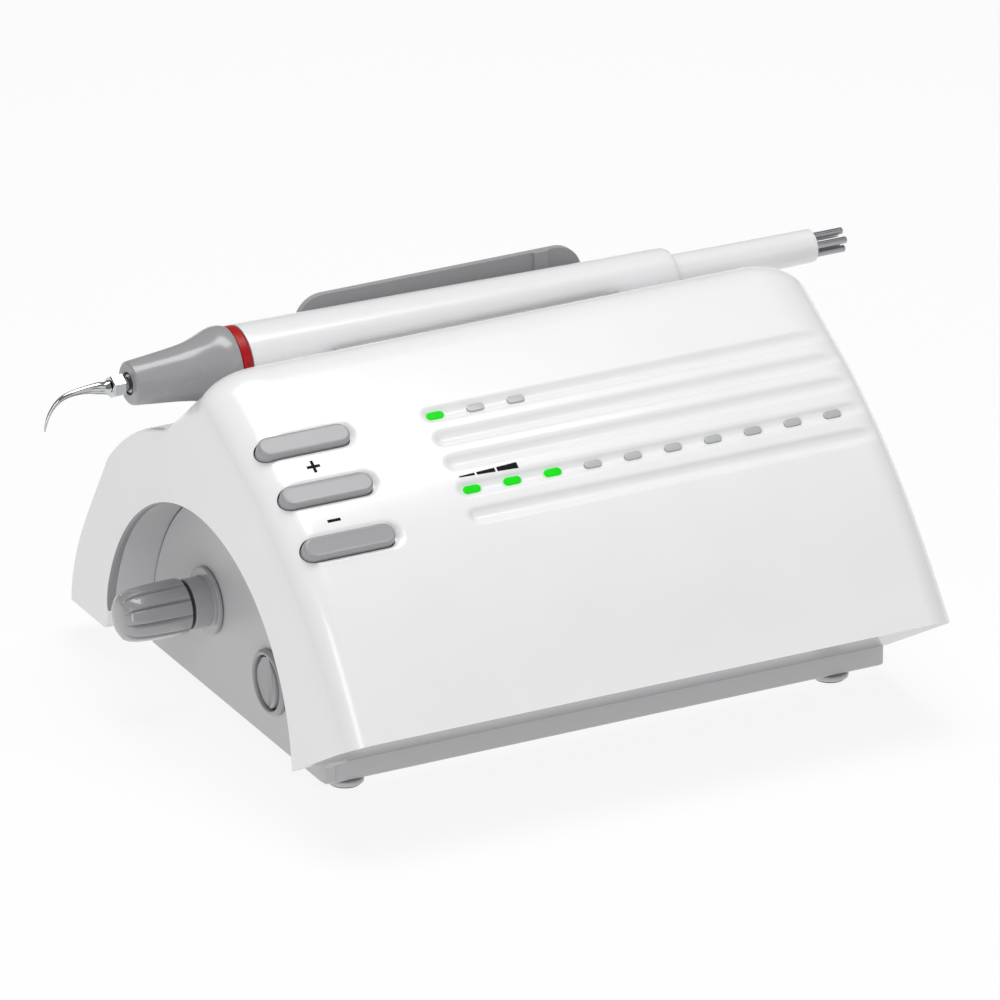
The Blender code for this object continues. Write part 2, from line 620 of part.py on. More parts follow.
# ---- rear panel --------------------------------------------------------------
def build_rear():
    y0, y1 = REAR_COVER_Y
    height = REAR_COVER_TOP - 5.0
    cover = shop.place("rear_cover", block((159.4, y1 - y0, height)), "tray",
                       (0, (y0 + y1) / 2, 5.0 + height / 2), smooth=False)
    openings = [(block((24.6, 8, 16.6)), (POWER_X, 73, SOCKET_Z), (0, 0, 0)),
                (along_y(rod(6.4, 8, 24)), (PEDAL_X, 73, SOCKET_Z), (0, 0, 0)),
                (along_y(rod(5.3, 8, 24)), (CORD_X, 73, SOCKET_Z), (0, 0, 0)),
                (along_y(rod(3.8, 8, 24)), (WATER_X, 73, SOCKET_Z), (0, 0, 0))]
    openings += [(along_y(rod(1.5, 8, 12)), (x, 73, 22.0), (0, 0, 0)) for x, _ in POSTS[2:]]
    openings.append((block((20, 8, 20)), (NICHE_X + 8.0 - 10, 73, 0.3), (0, 0, 0)))
    boolean(cover, shop.place("rear_openings", gathered(openings)))
    inlet = shop.place("power_inlet", rounded_block((24, 18, 16), 1.0), "black", (POWER_X, 67, SOCKET_Z))
    flange = block((28, 1.6, 20))
    boolean(inlet, shop.place("inlet_flange", flange, at=(POWER_X, 75.1, SOCKET_Z)), "UNION")
    boolean(inlet, shop.place("inlet_recess", block((19, 12, 12)), at=(POWER_X, 72, SOCKET_Z)))
    blades = [(block((1.6, 10, 4)), (POWER_X + dx, 69, SOCKET_Z + dz), (0, 0, 0)) for dx, dz in ((-6, -1), (0, 2), (6, -1))]
    boolean(inlet, shop.place("inlet_blades", gathered(blades)), "UNION")
    socket = [(0, -7.0), (4.4, -7.0), (4.4, 3.0), (8.2, 3.0), (8.6, 2.4), (8.6, 0.3), (6.1, 0.3), (6.1, -10), (0, -10)]
    shop.place("foot_switch_socket", along_y(lathe(socket, 24)), "steel", (PEDAL_X, y1, SOCKET_Z))
    gland = [(2.7, 9), (3.6, 9), (4.2, 5), (6.6, 5), (7.0, 4.5), (7.0, 0.3), (5.0, 0.3), (5.0, -8), (2.7, -8)]
    shop.place("handpiece_cord_gland", along_y(lathe(gland, 24)), "rubber", (CORD_X, y1, SOCKET_Z))
    barb = [(1.2, 12), (1.9, 12), (2.8, 9.6), (2.2, 9.4), (2.2, 9.0), (2.8, 6.6), (2.2, 6.4), (2.2, 3.2), (5.2, 3.2),
            (5.2, 0.3), (3.5, 0.3), (3.5, -8), (1.2, -8)]
    shop.place("water_inlet_fitting", along_y(lathe(barb, 20)), "chrome", (WATER_X, y1, SOCKET_Z))
    for name, (x, _) in zip(("rear_cover_screw_left", "rear_cover_screw_right"), POSTS[2:]):
        screw = [(0, 1.9), (1.6, 1.9), (2.4, 1.3), (2.4, 0.3), (1.2, 0.3), (1.2, -14.5), (0, -15)]
        shop.place(name, along_y(lathe(screw, 12)), "steel", (x, y1, 22.0))


# ---- holder and handpiece ----------------------------------------------------
def build_holder():
    y, z = HAND_AXIS
    outer = y + HOLDER_IN_R + HOLDER_WALL
    front = y - HOLDER_IN_R - HOLDER_WALL
    outline = [(outer, 70), (outer, HOLDER_BACK_Z), (outer - HOLDER_WALL, HOLDER_BACK_Z)]
    outline += arc(HAND_AXIS, HOLDER_IN_R, 0, -180, 16)
    outline += [(front + HOLDER_WALL, HOLDER_LIP_Z), (front, HOLDER_LIP_Z), (front, 90.6), (24.7, 82.7), (26.7, 82.0),
                (30, 70)]
    holder = shop.place("handpiece_holder", prism(outline, -HOLDER_HALF, HOLDER_HALF), "holder")
    rib = block((4.6, 1.6, HOLDER_BACK_Z - 95))
    boolean(holder, shop.place("holder_rib", rib, at=(30.5, outer - HOLDER_WALL, (HOLDER_BACK_Z + 95) / 2)), "UNION")
    boolean(holder, shop.place("holder_seat", along_x(rod(DOME_R + 0.45, 120, 128)), at=(0, *DOME)))
    half, top, radius = HOLDER_HALF, HOLDER_BACK_Z, 8.0
    shape = arc((half - radius, top - radius), radius, 0, 90, 6) + arc((-half + radius, top - radius), radius, 90, 180, 6)
    shape += [(-half, 60), (half, 60)]
    boolean(holder, shop.place("holder_corners", prism(shape, 10, 60, "Y")), "INTERSECT")


def tip_body():
    """Hooked tip about the handpiece axis: stations are x, drop, half depth in y, half height."""
    stations = [(-98.4, 0, 1.9, 1.9), (-99.8, 0, 1.9, 1.9), (-99.8, 0, 2.9, 2.9), (-103.6, 0, 2.9, 2.9),
                (-104.2, 0, 2.0, 2.0), (-105.4, 0, 1.5, 1.5), (-107.2, -0.4, 1.5, 1.8), (-109.6, -0.6, 1.1, 1.3),
                (-112.5, -0.6, 0.9, 0.9), (-115.5, -0.3, 0.8, 0.8), (-117.8, 0.5, 0.7, 0.7), (-119.6, 1.8, 0.6, 0.6),
                (-121.0, 3.5, 0.5, 0.5), (-122.0, 5.4, 0.45, 0.45), (-122.6, 7.3, 0.4, 0.4), (-122.9, 9.0, 0.25, 0.25)]
    lean = (0, 0, 0, 0, 0, 0, 0, 0, 0, 12, 26, 42, 54, 65, 74, 80)
    rings = []
    for (x, drop, ry, rz), tilt in zip(stations, lean):
        turn = math.radians(tilt)
        ring = []
        for i in range(12):
            angle = 2 * math.pi * i / 12
            flat = 1.0 if i % 2 == 0 or rz != 2.9 else math.cos(math.pi / 6)
            u, v = ry * flat * math.cos(angle), rz * flat * math.sin(angle)
            ring.append((x - v * math.sin(turn), u, -drop + v * math.cos(turn)))
        rings.append(ring)
    return loft(rings)


def build_handpiece(lift_frame):
    y, z = HAND_AXIS
    at = (0, y, z)
    shop.parent = lift_frame
    nozzle = [(10.3, -69.0), (10.6, -70.5), (10.5, -72.5), (9.5, -75.6), (8.5, -78.6), (7.7, -81.3), (7.0, -87.5),
              (6.0, -97.4), (5.5, -98.3), (3.2, -98.3), (3.2, -92.0), (4.6, -92.0), (4.6, -84.0), (5.6, -84.0),
              (5.6, -69.0)]
    shop.place("handpiece_nozzle", along_x(lathe(nozzle, 32)), "nozzle", at)
    shop.place("red_ring", along_x(lathe([(9.9, -65.9), (9.9, -68.7), (5.6, -68.7), (5.6, -65.9)], 32)), "red", at)
    sheath = [(5.6, 64.0), (6.4, 64.0), (7.2, 63.2), (7.5, 61.8), (7.6, 58.0), (7.9, 38.0), (8.4, 15.0), (9.0, -12.0),
              (9.5, -38.0), (9.9, -58.0), (10.0, -65.6), (5.6, -65.6)]
    shop.place("handpiece_sheath", along_x(lathe(sheath, 32)), "sheath", at)
    tail = [(0, 94.0), (3.9, 94.0), (3.9, 107.5), (4.3, 107.5), (4.6, 107.0), (5.1, 64.0), (5.2, 54.0), (0, 54.0)]
    shop.place("handpiece_tail", along_x(lathe(tail, 24)), "sheath", at)
    disc = shop.place("contact_pins", along_x(lathe([(0, 105.0), (3.6, 105.0), (3.6, 94.3), (0, 94.3)], 20)), "steel", at)
    pins = []
    for i in range(5):
        turn = math.radians(90 + 72 * i)
        pin = along_x(lathe([(0, 117.0), (0.6, 117.0), (0.95, 116.6), (0.95, 104.0), (0, 104.0)], 10))
        pins.append((pin, (0, 2.55 * math.cos(turn), 2.55 * math.sin(turn)), (0, 0, 0)))
    boolean(disc, shop.place("pins", gathered(pins), at=at), "UNION")
    horn = [(0, -62.0), (4.8, -62.0), (4.8, -79.5), (2.5, -83.0), (2.5, -98.0), (0, -98.0)]
    shop.place("transducer_horn", along_x(lathe(horn, 20)), "steel", at)
    shop.place("horn_o_ring", along_x(lathe([(4.2, -86.5), (4.2, -88.5), (2.8, -88.5), (2.8, -86.5)], 20)), "rubber", at)
    shop.place("piezo_stack", along_x(lathe([(0, -47.0), (5.0, -47.0), (5.0, -61.7), (0, -61.7)], 20)), "ceramic", at)
    shop.place("rear_mass", along_x(lathe([(0, -20.0), (5.2, -20.0), (5.2, -46.7), (0, -46.7)], 20)), "steel", at)
    shop.place("scaler_tip", tip_body(), "chrome", at)


def add_finishes():
    shop.finish("cover", (0.90, 0.90, 0.91), 0.25)
    shop.finish("tray", (0.60, 0.60, 0.61), 0.45)
    shop.finish("holder", (0.48, 0.48, 0.49), 0.4)
    shop.finish("key", (0.45, 0.45, 0.46), 0.4)
    shop.finish("knob", (0.33, 0.33, 0.34), 0.25)
    shop.finish("lens", (0.05, 0.85, 0.10), 0.3)
    shop.finish("foot", (0.20, 0.20, 0.20), 0.8)
    shop.finish("rubber", (0.05, 0.05, 0.05), 0.7)
    shop.finish("black", (0.04, 0.04, 0.045), 0.5)
    shop.finish("circuit", (0.03, 0.22, 0.10), 0.5)
    shop.finish("copper", (0.55, 0.25, 0.12), 0.45, 0.6)
    shop.finish("sleeve", (0.05, 0.08, 0.22), 0.45)
    shop.finish("tube", (0.75, 0.78, 0.80), 0.35)
    shop.finish("aluminium", (0.70, 0.71, 0.73), 0.4, 1.0)
    shop.finish("steel", (0.60, 0.61, 0.63), 0.35, 1.0)
    shop.finish("chrome", (0.80, 0.81, 0.83), 0.12, 1.0)
    shop.finish("brass", (0.70, 0.52, 0.22), 0.3, 1.0)
    shop.finish("ceramic", (0.82, 0.78, 0.70), 0.5)
    shop.finish("nozzle", (0.42, 0.42, 0.43), 0.35)
    shop.finish("red", (0.50, 0.02, 0.02), 0.35)
    shop.finish("sheath", (0.86, 0.86, 0.87), 0.3)


def main():
    global shop
    clear_scene()
    shop = Workshop()
    add_finishes()
    root = shop.empty("unit_frame", (-BOX_CENTRE[0], -BOX_CENTRE[1], 0))
    shop.parent = root
    build_cover()
    build_lights()
    build_keys()
    build_control_board()
    build_tray()
    build_feet_and_screws()
    build_electronics()
    build_rear()
    build_holder()
    knob_frame = shop.empty("knob_frame", (-92.0, *KNOB_AXIS), root)
    needle_frame = shop.empty("needle_frame", (-90.0, *KNOB_AXIS), root)
    rocker_frame = shop.empty("rocker_frame", (-77.2, *SWITCH_AXIS), root)
    lift_frame = shop.empty("handpiece_frame", (0, *HAND_AXIS), root)
    build_knob_and_valve(knob_frame, needle_frame)
    shop.parent = root
    build_power_switch(rocker_frame)
    build_handpiece(lift_frame)


main()
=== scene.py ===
# Looks of the tabletop dental scaler: moulded covers, keys, lights and the handpiece in its cradle.
import json
import math

import bmesh
import bpy
from mathutils import Matrix, Vector


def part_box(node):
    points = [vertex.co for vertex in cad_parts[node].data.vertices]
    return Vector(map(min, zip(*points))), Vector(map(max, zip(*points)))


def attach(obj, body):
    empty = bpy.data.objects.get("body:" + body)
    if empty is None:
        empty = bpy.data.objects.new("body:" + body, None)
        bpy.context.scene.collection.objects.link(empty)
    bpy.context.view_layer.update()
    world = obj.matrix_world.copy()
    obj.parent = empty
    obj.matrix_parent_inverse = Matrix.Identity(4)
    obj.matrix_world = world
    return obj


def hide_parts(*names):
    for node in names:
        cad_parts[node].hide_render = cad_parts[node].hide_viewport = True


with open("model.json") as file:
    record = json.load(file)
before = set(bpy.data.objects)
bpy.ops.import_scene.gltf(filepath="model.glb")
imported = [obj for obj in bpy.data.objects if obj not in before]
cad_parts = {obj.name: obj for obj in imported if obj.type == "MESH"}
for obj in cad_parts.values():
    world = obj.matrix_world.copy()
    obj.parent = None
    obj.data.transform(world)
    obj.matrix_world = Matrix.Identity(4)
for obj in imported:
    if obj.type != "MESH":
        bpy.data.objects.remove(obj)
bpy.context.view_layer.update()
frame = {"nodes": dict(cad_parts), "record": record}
mm = 0.001
shellLow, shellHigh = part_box("top_shell")
unitOrigin = Vector(((shellLow.x + shellHigh.x) / 2, shellLow.y + 83.6 * mm, 0))  # centre of the unit, on the table


def spot(x, y, z):  # a place in the unit's own millimetres, as metres in the frame
    return unitOrigin + Vector((x, y, z)) * mm


print("frame loaded")

studio = {"azimuth": -27.375, "elevation": 23.775, "distance": 3902.7, "lens": 525.6, "aim": (-1.838, 3.923, 51.364),
          "floorTone": 0.12, "floorGlow": 0.87, "worldTone": 1.0, "worldPower": 0.24}


def setCamera():
    camera = bpy.data.objects.new("camera", bpy.data.cameras.new("camera"))
    bpy.context.scene.collection.objects.link(camera)
    turn, lift = math.radians(studio["azimuth"]), math.radians(studio["elevation"])
    back = Vector((math.sin(turn) * math.cos(lift), -math.cos(turn) * math.cos(lift), math.sin(lift)))
    camera.location = spot(*studio["aim"]) + back * studio["distance"] * mm
    camera.rotation_euler = (-back).to_track_quat("-Z", "Y").to_euler()
    camera.data.lens = studio["lens"]
    camera.data.sensor_width = 36
    camera.data.clip_start, camera.data.clip_end = 0.05, 60
    bpy.context.scene.camera = camera


setCamera()
bpy.context.scene.view_settings.view_transform = "Standard"
print("camera set")


class Wire:  # one socket of a material; arithmetic on it adds the Math nodes
    def __init__(self, tree, socket):
        self.tree, self.socket = tree, socket

    def combine(self, operation, first, second):
        node = self.tree.nodes.new("ShaderNodeMath")
        node.operation = operation
        for place, value in enumerate((first, second)):
            if isinstance(value, Wire):
                self.tree.links.new(value.socket, node.inputs[place])
            else:
                node.inputs[place].default_value = value
        return Wire(self.tree, node.outputs[0])

    def __add__(self, other): return self.combine("ADD", self, other)
    def __radd__(self, other): return self.combine("ADD", other, self)
    def __sub__(self, other): return self.combine("SUBTRACT", self, other)
    def __rsub__(self, other): return self.combine("SUBTRACT", other, self)
    def __mul__(self, other): return self.combine("MULTIPLY", self, other)
    def __rmul__(self, other): return self.combine("MULTIPLY", other, self)
    def __lt__(self, other): return self.combine("LESS_THAN", self, other)


class Finish:  # a material and the one method that adds any node to it
    def __init__(self, name):
        self.material = bpy.data.materials.new(name)
        self.material.use_nodes = True
        self.tree = self.material.node_tree
        self.shader = self.tree.nodes["Principled BSDF"]

    def node(self, kind, settings=None, output=0, **sockets):
        made = self.tree.nodes.new("ShaderNode" + kind)
        for key, value in (settings or {}).items():
            setattr(made, key, value)
        for key, value in sockets.items():
            self.feed(made.inputs[int(key[1:]) if key[1:].isdigit() else key], value)
        return Wire(self.tree, made.outputs[output])

    def feed(self, socket, value):
        if isinstance(value, Wire):
            self.tree.links.new(value.socket, socket)
        elif isinstance(value, tuple) and len(value) == 3 and socket.type == "RGBA":
            socket.default_value = (*value, 1.0)
        else:
            socket.default_value = value

    def paint(self, **sockets):
        for key, value in sockets.items():
            self.feed(self.shader.inputs[key.replace("_", " ")], value)
        return self.material

    def place(self):
        return self.node("TexCoord", output=3)

    def grain(self, size, detail=2.0, roughness=0.5, stretch=(1, 1, 1)):  # noise whose lumps are about size mm
        scaled = self.node("Mapping", Vector=self.place(), Scale=tuple(s / (size * mm) for s in stretch))
        return self.node("TexNoise", Vector=scaled, Scale=1.0, Detail=detail, Roughness=roughness)

    def blend(self, factor, first, second):
        return self.node("Mix", {"data_type": "RGBA"}, 2, i0=factor, i6=first, i7=second)

    def bumped(self, height, distance, strength=1.0):
        return self.node("Bump", Height=height, Distance=distance * mm, Strength=strength)


def moulded(name, colour, roughness, grainSize=0.35, grainDepth=0.004, patchy=0.02, coat=0.0, gloss=0.5):
    # injection-moulded plastic: a very fine skin, faint cloudiness and uneven gloss
    finish = Finish(name)
    cloud = finish.grain(18, 3)
    skin = finish.grain(grainSize, 2)
    darker = tuple(c * (1 - 2 * patchy) for c in colour)
    finish.paint(Base_Color=finish.blend(cloud, darker, colour), Roughness=(cloud - 0.5) * 0.08 + roughness,
                 Normal=finish.bumped(skin, grainDepth), Coat_Weight=coat, Coat_Roughness=0.08, Specular_IOR_Level=gloss)
    return finish.material


def glowing(name, colour, glow, strength):
    # light guide lit from inside, a little brighter in its cloudy middle
    finish = Finish(name)
    cloud = finish.grain(2.0, 2)
    finish.paint(Base_Color=finish.blend(cloud, tuple(c * 0.8 for c in colour), colour),
                 Emission_Color=finish.blend(cloud, tuple(c * 0.75 for c in glow), glow), Emission_Strength=strength,
                 Roughness=(cloud - 0.5) * 0.1 + 0.4, Specular_IOR_Level=0.15)
    return finish.material


def metal(name, colour, roughness, stretch=(1, 1, 1), grainSize=0.2, depth=0.003):
    # turned or drawn metal: hair lines along one direction
    finish = Finish(name)
    lines = finish.grain(grainSize, 3, 0.6, stretch)
    cloud = finish.grain(6, 2)
    finish.paint(Base_Color=finish.blend(lines, tuple(c * 0.86 for c in colour), colour), Metallic=1.0,
                 Roughness=(lines - 0.5) * 0.12 + (cloud - 0.5) * 0.06 + roughness, Normal=finish.bumped(lines, depth))
    return finish.material


def rubbery(name, colour):
    finish = Finish(name)
    dust = finish.grain(1.2, 4, 0.7)
    finish.paint(Base_Color=finish.blend(dust, colour, tuple(c * 1.5 + 0.01 for c in colour)),
                 Roughness=(dust - 0.5) * 0.2 + 0.75, Normal=finish.bumped(dust, 0.02))
    return finish.material


def circuitBoard(name):
    # green mask over copper tracks
    finish = Finish(name)
    spots = finish.node("TexVoronoi", {"feature": "DISTANCE_TO_EDGE"}, 0, Vector=finish.place(), Scale=260.0)
    track = spots < 0.05
    finish.paint(Base_Color=finish.blend(track, (0.012, 0.11, 0.045), (0.03, 0.22, 0.09)), Roughness=0.38,
                 Normal=finish.bumped(track, 0.03))
    return finish.material


def wound(name, colour, pitch):
    # enamelled wire laid side by side; the grooves between turns get painted shade, down to 35% of the colour
    finish = Finish(name)
    turns = finish.node("TexWave", {"wave_type": "BANDS", "bands_direction": "Z", "wave_profile": "SIN"}, 1,
                        Vector=finish.place(), Scale=0.314 / (pitch * mm), Distortion=0.0)
    # the same wave that dents the grooves darkens them: painted shade between turns
    finish.paint(Base_Color=finish.blend(turns, tuple(c * 0.35 for c in colour), colour), Metallic=0.6,
                 Roughness=0.35, Normal=finish.bumped(turns, pitch * 0.25))
    return finish.material


def whiteShell(name, colour, paintedUndersideShade):
    # glossy white moulding; faces that point down get painted shade, a dark grey standing in for the shade under the
    # cover
    finish = Finish(name)
    cloud = finish.grain(18, 3)
    skin = finish.grain(0.35, 2)
    normal = finish.node("SeparateXYZ", None, 2, Vector=finish.node("NewGeometry", output=1))
    top = finish.blend(cloud, tuple(c * 0.96 for c in colour), colour)
    # faces tilted down take the painted shade colour instead of the white
    finish.paint(Base_Color=finish.blend(normal < -0.12, top, paintedUndersideShade), Roughness=(cloud - 0.5) * 0.08 + 0.24,
                 Normal=finish.bumped(skin, 0.004), Coat_Weight=0.3, Coat_Roughness=0.08)
    return finish.material


materials = {
    # the last colour is painted shade for the cover's underside
    "cover": whiteShell("whiteCover", (0.88, 0.88, 0.89), (0.25, 0.25, 0.26)),
    "tray": moulded("greyTray", (0.54, 0.54, 0.55), 0.42, 0.3, 0.006),
    "holder": moulded("greyHolder", (0.36, 0.36, 0.37), 0.36),
    "key": moulded("greyKey", (0.34, 0.34, 0.35), 0.30, coat=0.2),
    "knob": moulded("greyKnob", (0.36, 0.36, 0.37), 0.2, coat=0.5),
    "lens": moulded("unlitLens", (0.47, 0.48, 0.475), 0.25, coat=0.3),
    "foot": rubbery("footRubber", (0.06, 0.06, 0.06)),
    "rubber": rubbery("sealRubber", (0.02, 0.02, 0.02)),
    "black": moulded("blackNylon", (0.03, 0.03, 0.033), 0.5, 0.5, 0.01),
    "circuit": circuitBoard("boardMask"),
    "copper": wound("copperWinding", (0.55, 0.24, 0.10), 0.6),
    "sleeve": moulded("shrinkSleeve", (0.04, 0.06, 0.20), 0.4),
    "tube": moulded("waterTube", (0.72, 0.76, 0.78), 0.3),
    "aluminium": metal("extrudedAluminium", (0.72, 0.73, 0.75), 0.35, (1, 0.05, 1)),
    "steel": metal("turnedSteel", (0.42, 0.42, 0.44), 0.3, (0.3, 1, 1)),
    "chrome": metal("polishedSteel", (0.62, 0.63, 0.64), 0.10, (0.1, 1, 1), 0.15, 0.001),
    "brass": metal("turnedBrass", (0.72, 0.52, 0.22), 0.3, (1, 0.2, 0.2)),
    "ceramic": moulded("piezoCeramic", (0.80, 0.76, 0.68), 0.5),
    "nozzle": moulded("greyNozzle", (0.33, 0.33, 0.34), 0.28, coat=0.3),
    "red": moulded("redRing", (0.40, 0.002, 0.004), 0.35, gloss=0.3),
    "sheath": moulded("whiteSheath", (0.84, 0.84, 0.85), 0.26, coat=0.3),
    "litLens": glowing("litLens", (0.0, 0.25, 0.0), (0.0, 1.0, 0.002), 0.6),
    "glowRim": glowing("lensGlow", (0.66, 0.86, 0.68), (0.4, 0.9, 0.45), 0.08),
    "print": moulded("blackPrint", (0.006, 0.006, 0.006), 0.6, gloss=0.1),
}
for entry in frame["record"]["subparts"]:
    held = frame["nodes"][entry["node"]].data.materials
    held.clear()
    held.append(materials[entry["material_slot"]])
print("finishes made")


# ---- shapes, all in the unit's millimetres
def along(radius, start, end, steps, centre):  # part of a circle, angles in degrees from +y towards +z
    turn = [math.radians(start + (end - start) * i / steps) for i in range(steps + 1)]
    return [(centre[0] + radius * math.cos(a), centre[1] + radius * math.sin(a)) for a in turn]


def bezier(corners, t):
    weights = ((1 - t) ** 3, 3 * (1 - t) ** 2 * t, 3 * (1 - t) * t * t, t ** 3)
    return tuple(sum(w * c[k] for w, c in zip(weights, corners)) for k in (0, 1))


def softened(profile, radius, steps=4):  # rounds every inner corner of an open outline
    made = [profile[0]]
    for before, corner, after in zip(profile, profile[1:], profile[2:]):
        p, q, r = Vector(before), Vector(corner), Vector(after)
        reach = min(radius, (p - q).length * 0.45, (r - q).length * 0.45)
        start, end = q + (p - q).normalized() * reach, q + (r - q).normalized() * reach
        for i in range(steps + 1):
            t = i / steps
            made.append(tuple((1 - t) ** 2 * start + 2 * (1 - t) * t * q + t * t * end))
    return made + [profile[-1]]


def skin(rings, closeEnds=True):  # closed surface over rings of equal count
    shape = bmesh.new()
    made = [[shape.verts.new([v * mm for v in p]) for p in ring] for ring in rings]
    count = len(made[0])
    for near, far in zip(made, made[1:]):
        for i in range(count):
            j = (i + 1) % count
            shape.faces.new((near[i], near[j], far[j], far[i]))
    if closeEnds:
        shape.faces.new(list(reversed(made[0])))
        shape.faces.new(made[-1])
    bmesh.ops.recalc_face_normals(shape, faces=shape.faces)
    return shape


def turned(profile, centre, steps=96, axis="x"):  # (radius, place along the axis) turned about an axis
    rings = []
    for radius, place in profile:
        ring = []
        for i in range(steps):
            a = 2 * math.pi * i / steps
            u, v = max(radius, 0.01) * math.cos(a), max(radius, 0.01) * math.sin(a)
            ring.append((place, centre[0] + u, centre[1] + v) if axis == "x" else (centre[0] + u, centre[1] + v, place))
        rings.append(ring)
    if profile[0][0] > 0 and profile[-1][0] > 0:
        rings.append(rings[0])
        shape = bmesh.new()
        made = [[shape.verts.new([v * mm for v in p]) for p in ring] for ring in rings[:-1]]
        for k, near in enumerate(made):
            far = made[(k + 1) % len(made)]
            for i in range(steps):
                j = (i + 1) % steps
                shape.faces.new((near[i], near[j], far[j], far[i]))
        bmesh.ops.recalc_face_normals(shape, faces=shape.faces)
        return shape
    return skin(rings)


def bar(outline, start, end, axis="x"):  # (y, z) outline along x, (x, z) along y or (x, y) along z
    order = {"x": lambda u, v, w: (w, u, v), "y": lambda u, v, w: (u, w, v), "z": lambda u, v, w: (u, v, w)}[axis]
    return skin([[order(u, v, w) for u, v in outline] for w in (start, end)])


def roundedBox(low, high, radius, steps=8):  # upright corners rounded
    x0, y0, x1, y1 = low[0] + radius, low[1] + radius, high[0] - radius, high[1] - radius
    outline = (along(radius, 0, 90, steps, (x1, y1)) + along(radius, 90, 180, steps, (x0, y1))
               + along(radius, 180, 270, steps, (x0, y0)) + along(radius, 270, 360, steps, (x1, y0)))
    return bar(outline, low[2], high[2], "z")


def joined(shapes):
    whole = bmesh.new()
    for shape in shapes:
        mesh = bpy.data.meshes.new("shape")
        shape.to_mesh(mesh)
        shape.free()
        whole.from_mesh(mesh)
        bpy.data.meshes.remove(mesh)
    return whole


def objectFrom(name, shape):
    mesh = bpy.data.meshes.new(name)
    shape.to_mesh(mesh)
    shape.free()
    item = bpy.data.objects.new(name, mesh)
    item.location = spot(0, 0, 0)
    bpy.context.scene.collection.objects.link(item)
    return item


def settle(item):  # turns the modifiers into the mesh
    bpy.context.view_layer.update()
    mesh = bpy.data.meshes.new_from_object(item.evaluated_get(bpy.context.evaluated_depsgraph_get()))
    item.modifiers.clear()
    item.data = mesh


def carve(item, tools, operation="DIFFERENCE"):
    for index, tool in enumerate(tools):
        cutter = objectFrom("cutter%d" % index, tool)
        change = item.modifiers.new("carve", "BOOLEAN")
        change.operation, change.solver, change.object = operation, "EXACT", cutter
        settle(item)
        bpy.data.objects.remove(cutter, do_unlink=True)


def finishPiece(item, finish, body, standsFor=(), sharp=35, rounding=0.0):
    item.data.materials.clear()
    item.data.materials.append(materials[finish])
    if rounding:
        edge = item.modifiers.new("edge", "BEVEL")
        edge.width, edge.segments, edge.limit_method, edge.angle_limit = rounding * mm, 3, "ANGLE", math.radians(40)
        edge.use_clamp_overlap = True
        settle(item)
    item.data.shade_smooth()
    item.data.set_sharp_from_angle(angle=math.radians(sharp))
    weighted = item.modifiers.new("weighted", "WEIGHTED_NORMAL")
    weighted.keep_sharp = True
    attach(item, body)
    if standsFor:
        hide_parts(*standsFor)
    return item


# ---- the cover
cover = {"half": 91.5, "front": (-83.6, 32.4), "rear": (83.6, 9.4), "undercut": (-43.0, 8.5), "taper": 0.015,
         "fillet": 10.0, "crown": (4.0, 90.8), "crownR": 12.4, "frontSlope": 29.0, "rearSlope": 57.0, "reach": 1.7,
         "edgeSlope": 52.4, "dome": (6.2, 8.8), "domeR": 75.0, "seam": (61.6, 59.4), "wall": 2.5, "rimRound": 0.12,
         "flat": 73.0}
grooves = {"rows": (-19.3, -26.0, -32.6, -39.4, -45.8), "start": -36.5, "radius": 2.8, "depth": 1.2}
scoops = {"rows": (-19.7, -33.1, -46.0), "end": -56.7, "radius": 5.2, "depth": 1.6}
niche = {"centre": (6.2, 7.4), "radius": 55.8, "lining": 58.35, "rim": 2.6, "panelX": -77.5}


def frontPoint(t):  # front slope from the crown (0) to its lower edge (1)
    a0, a1 = math.radians(cover["frontSlope"]), math.radians(cover["edgeSlope"])
    (cy, cz), r, (fy, fz) = cover["crown"], cover["crownR"], cover["front"]
    p0 = (cy - r * math.sin(a0), cz + r * math.cos(a0))
    p1 = (p0[0] - 46 * math.cos(a0), p0[1] - 46 * math.sin(a0))
    return bezier((p0, p1, (fy + 40.5 * math.cos(a1), fz + 40.5 * math.sin(a1)), (fy, fz)), t)


def frontShare(y):  # how far down the slope y is, from 0 to 1
    low, high = 0.0, 1.0
    for _ in range(40):
        middle = (low + high) / 2
        low, high = (middle, high) if frontPoint(middle)[0] > y else (low, middle)
    return low


def slopeAt(y):  # height and tilt of the front at y
    t = frontShare(y)
    (ya, za), (yb, zb) = frontPoint(t - 0.01), frontPoint(t + 0.01)
    return frontPoint(t)[1], math.atan2(za - zb, ya - yb)


def onSlope(shape, x, y):  # moves a flat-lying shape onto the front slope, its z out of the slope
    z, tilt = slopeAt(y)
    shape.transform(Matrix.Translation(Vector((x, y, z)) * mm) @ Matrix.Rotation(tilt, 4, "X"))
    return shape


def coverLine():  # (y, z, share of the end fillet's drop, its reach along x)
    small, reach = cover["rimRound"], cover["reach"]
    lower = [bezier((cover["rear"], (83.6, 26.0), (71.3, 41.9), cover["seam"]), i / 24) for i in range(25)]
    dome = along(cover["domeR"], 44, 73, 24, cover["dome"])
    crown = along(cover["crownR"], 90 - cover["rearSlope"], 90 + cover["frontSlope"], 24, cover["crown"])
    line = [(y, z, small, small) for y, z in lower + dome[1:] + [(25.5, 81.6)]]
    foot = (23.9, 83.0)
    for i in range(8):
        t = i / 8
        line.append((foot[0] + (crown[0][0] - foot[0]) * t, foot[1] + (crown[0][1] - foot[1]) * t,
                     small + (1 - small) * t, small + (reach - small) * t))
    line += [(y, z, 1.0, reach) for y, z in crown]
    t = 0.0
    while t < 1.0:
        y = frontPoint(t)[0]
        t = min(1.0, t + (0.0038 if -53 < y < -12 else 0.012))
        y, z = frontPoint(t)
        line.append((y, z, 1.0, 1 + (reach - 1) * max(0.0, 1 - 4 * t)))
    return line


